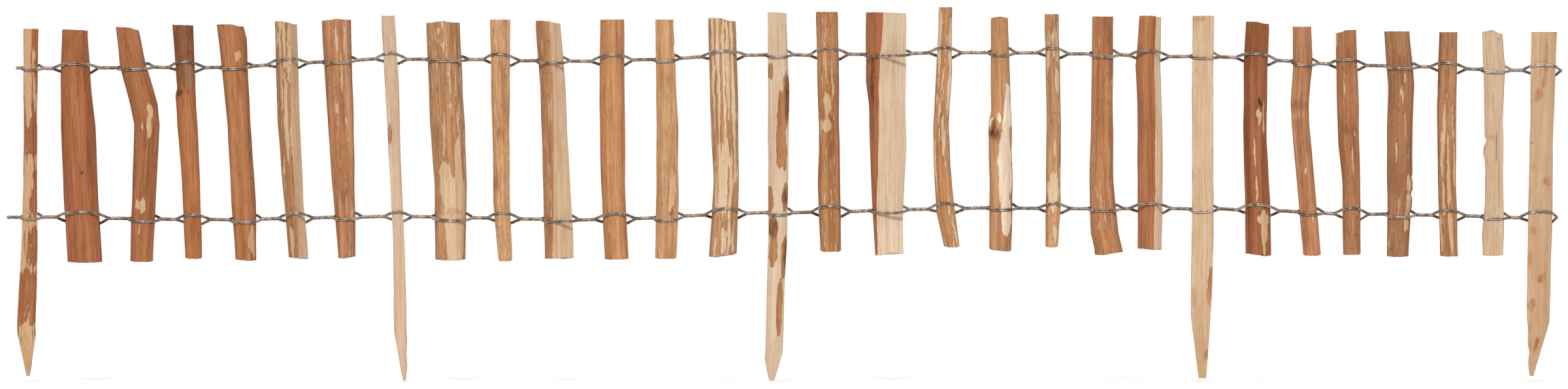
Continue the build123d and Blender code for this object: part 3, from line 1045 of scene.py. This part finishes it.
def makeEye(line, number, upright):
    surface = surfaceOf(upright)
    shape = lineLook["highEye" if number % 2 else "lowEye"]
    xs = [corner[0] for corner in upright.bound_box]
    boxMiddle = (min(xs) + max(xs)) / 2
    middle = spanAt(surface, boxMiddle, lineHeight(line, boxMiddle))[0]
    z = lineHeight(line, middle)
    numberScale, heightScale, partScale = lineLook["unevenScale"]
    drift = []
    for part in range(4):
        place = Vector((number * numberScale, z * heightScale, part * partScale))
        drift.append(noise.noise(place) * lineLook["uneven"])
    crownDrift, backDrift, leftDrift, rightDrift = drift
    crown = shape["front"] * mm + crownDrift
    atEdge = crown * lineLook["edgeShare"]
    rises = {
        front: (atEdge, atEdge),
        back: (shape["backLeft"] * mm + backDrift, shape["backRight"] * mm + backDrift),
    }
    seats = {side: seatsOn(surface, side, middle, z + sum(rises[side]) / 2) for side in (front, back)}
    reach = [x for x, y in seats[front] + seats[back]]
    leftEnd, rightEnd = (end * mm for end in lineLook[line]["ends"])
    left = min(reach) - shape["leadLeft"] * mm + leftDrift
    left = max(left, leftEnd + lineLook["endClear"])
    right = max(reach) + shape["leadRight"] * mm + rightDrift
    right = min(right, rightEnd - lineLook["endClear"])
    corner = lineLook["ropeRadius"] * math.sqrt(0.5)  # the four wires stand in a square
    ends = [(left, corner), (right, corner)]
    paths = {side: tautOver(seats[side] + ends) for side in (front, back)}
    crowns = {front: crown - atEdge, back: 0}
    edges = (min(reach), max(reach))
    return {"left": left, "right": right, "wood": edges, "rises": rises, "crowns": crowns, "paths": paths}


def leadShare(eye, x):
    # 0 where the pairs part, 1 where they meet the wood
    fromLeft = (x - eye["left"]) / (eye["wood"][0] - eye["left"])
    fromRight = (eye["right"] - x) / (eye["right"] - eye["wood"][1])
    return min(max(min(fromLeft, fromRight), 0), 1)


def eyeRise(eye, side, x):
    inside = min(max((x - eye["wood"][0]) / (eye["wood"][1] - eye["wood"][0]), 0), 1)
    crown = eye["crowns"][side] * math.sin(math.pi * inside)
    return between(*eye["rises"][side], inside) * leadShare(eye, x) + crown


def wirePoints(line, eyes, side, level):
    radius = lineLook["ropeRadius"]
    corner = radius * math.sqrt(0.5)
    leftEnd, rightEnd = (end * mm for end in lineLook[line]["ends"])
    firstTurns, lastTurns = lineLook["tailTurns"]
    tailSteps, twistSteps = lineLook["tailSteps"], lineLook["twistSteps"]
    near = [reach * lineLook["bendReach"] for reach in (-1, 0, 1)]
    points = []

    def addTwisted(begin, end, shares, firstTurn, lastTurn):
        for share in shares:
            x = between(begin, end, share)
            angle = math.atan2(level, side) + math.pi * between(firstTurn, lastTurn, share)
            points.append((x, radius * math.cos(angle), lineHeight(line, x) + radius * math.sin(angle)))

    tail = [step / tailSteps for step in range(tailSteps)]
    addTwisted(leftEnd, eyes[0]["left"], tail, firstTurns, 0)
    for number, eye in enumerate(eyes):
        count = max(round((eye["right"] - eye["left"]) / lineLook["eyeStep"]), lineLook["eyeLeast"])
        for step in range(count + 1):
            x = between(eye["left"], eye["right"], step / count)
            y = sum(alongPath(eye["paths"][side], x + reach) for reach in near) / len(near)
            rise = sum(eyeRise(eye, side, x + reach) for reach in near) / len(near)
            spread = level * between(corner, lineLook["pairStep"], leadShare(eye, x))
            points.append((x, side * y, lineHeight(line, x) + rise + spread))
        if number + 1 < len(eyes):
            turns = lineLook["halfTurns"] * (-1 if number % 2 else 1)
            twist = [step / twistSteps for step in range(1, twistSteps)]
            addTwisted(eye["right"], eyes[number + 1]["left"], twist, 0, turns)
            side, level = -side, -level  # an odd number of half turns swaps the pairs
    tail = [step / tailSteps for step in range(1, tailSteps + 1)]
    addTwisted(eyes[-1]["right"], rightEnd, tail, 0, lastTurns)
    return points


def makeWire(name, points):
    curve = bpy.data.curves.new(name + "_route", "CURVE")
    curve.dimensions = "3D"
    curve.bevel_depth = wireLook["diameter"] / 2
    curve.bevel_resolution = wireLook["bevelSteps"]
    curve.use_fill_caps = True
    spline = curve.splines.new("POLY")
    spline.points.add(len(points) - 1)
    for point, place in zip(spline.points, points):
        point.co = (*place, 1)
    route = bpy.data.objects.new(name + "_route", curve)
    bpy.context.scene.collection.objects.link(route)
    bpy.context.view_layer.update()
    finished = route.evaluated_get(bpy.context.evaluated_depsgraph_get())
    mesh = bpy.data.meshes.new_from_object(finished)
    bpy.data.objects.remove(route)
    bpy.data.curves.remove(curve)
    mesh.name = name + "_strand"
    wire = bpy.data.objects.new(name + "_strand", mesh)
    bpy.context.scene.collection.objects.link(wire)
    mesh.polygons.foreach_set("use_smooth", [True] * len(mesh.polygons))
    mesh.materials.clear()
    mesh.materials.append(galvanised)
    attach(wire, "root")
    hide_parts(name)
    return wire


strands = ((front, 1), (front, -1), (back, 1), (back, -1))  # sides and levels at the first upright
for line in ("upper", "lower"):
    eyes = [makeEye(line, number, upright) for number, upright in enumerate(uprights)]
    for number, (side, level) in enumerate(strands, start=1):
        makeWire(f"{line}_wire_{number}", wirePoints(line, eyes, side, level))
print("wires made")

# stage: pale floor, white surround, soft light from the front and a little from the left
stageLook = {
    "floorSize": (3, 1.1, 1),
    "floorDrop": (0, 0, -2 * mm),
    "floorTone": (0.8, 0.8, 0.8, 1),
    "floorRoughness": 0.9,
    "floorGlow": 0.45,
    "white": (1, 1, 1, 1),
    "sunStrength": 1.8,
    "sunAngle": 9,
    "sunTravel": (0.02, 0.85, -0.55),
    "skyStrength": 0.46,
}

floorMesh = bpy.data.meshes.new("floor")
floorBm = bmesh.new()
bmesh.ops.create_grid(floorBm, x_segments=1, y_segments=1, size=1)
bmesh.ops.scale(floorBm, vec=stageLook["floorSize"], verts=floorBm.verts)
bmesh.ops.translate(floorBm, vec=stageLook["floorDrop"], verts=floorBm.verts)
floorBm.to_mesh(floorMesh)
floorBm.free()
floor = bpy.data.objects.new("floor", floorMesh)
bpy.context.scene.collection.objects.link(floor)
floorPaint = bpy.data.materials.new("floor_paint")
floorPaint.use_nodes = True
floorTree = floorPaint.node_tree
floorShader = floorTree.nodes["Principled BSDF"]
floorShader.inputs["Base Color"].default_value = stageLook["floorTone"]
floorShader.inputs["Roughness"].default_value = stageLook["floorRoughness"]
seenFloor = Link(floorTree).node("LightPath", None, None, "Is Camera Ray")
glow = {"Color": stageLook["white"], "Strength": seenFloor * stageLook["floorGlow"]}
floorGlow = seenFloor.node("Emission", None, glow)
floorSum = seenFloor.node("AddShader", None, {0: Link(floorTree, floorShader.outputs[0]), 1: floorGlow})
floorTree.links.new(floorSum.socket, floorTree.nodes["Material Output"].inputs["Surface"])
floorMesh.materials.append(floorPaint)

world = bpy.data.worlds.new("studio")
bpy.context.scene.world = world
world.use_nodes = True
worldTree = world.node_tree
sky = worldTree.nodes["Background"]
seen = Link(worldTree).node("LightPath", None, None, "Is Camera Ray")
mirrored = Link(worldTree).node("LightPath", None, None, "Is Glossy Ray")
through = Link(worldTree).node("LightPath", None, None, "Is Transmission Ray")
shown = seen.node("Clamp", None, {0: seen + mirrored + through})
strength = shown * (1 - stageLook["skyStrength"]) + stageLook["skyStrength"]
worldTree.links.new(strength.socket, sky.inputs["Strength"])
sky.inputs["Color"].default_value = stageLook["white"]

sun = bpy.data.lights.new("sun", "SUN")
sun.energy = stageLook["sunStrength"]
sun.angle = math.radians(stageLook["sunAngle"])
sunObject = bpy.data.objects.new("sun", sun)
sunObject.rotation_mode = "QUATERNION"
sunObject.rotation_quaternion = Vector(stageLook["sunTravel"]).to_track_quat("-Z", "Y")
bpy.context.scene.collection.objects.link(sunObject)

# camera: level, square on, as far off as a long lens
cameraLook = {
    "lens": 400,
    "sensorWidth": 36,
    "viewWidth": 2.016,  # metres of the row
    "middle": (0.016, 0.2394),
    "clipEnd": 200,
}
camera = bpy.data.cameras.new("camera")
camera.lens = cameraLook["lens"]
camera.sensor_width = cameraLook["sensorWidth"]
camera.clip_end = cameraLook["clipEnd"]
cameraObject = bpy.data.objects.new("camera", camera)
distance = cameraLook["viewWidth"] * camera.lens / camera.sensor_width
middleX, middleZ = cameraLook["middle"]
cameraObject.location = (middleX, -distance, middleZ)
cameraObject.rotation_euler = (math.radians(90), 0, 0)
bpy.context.scene.collection.objects.link(cameraObject)
bpy.context.scene.camera = cameraObject
bpy.context.scene.view_settings.view_transform = "Standard"

print("stage and camera set")
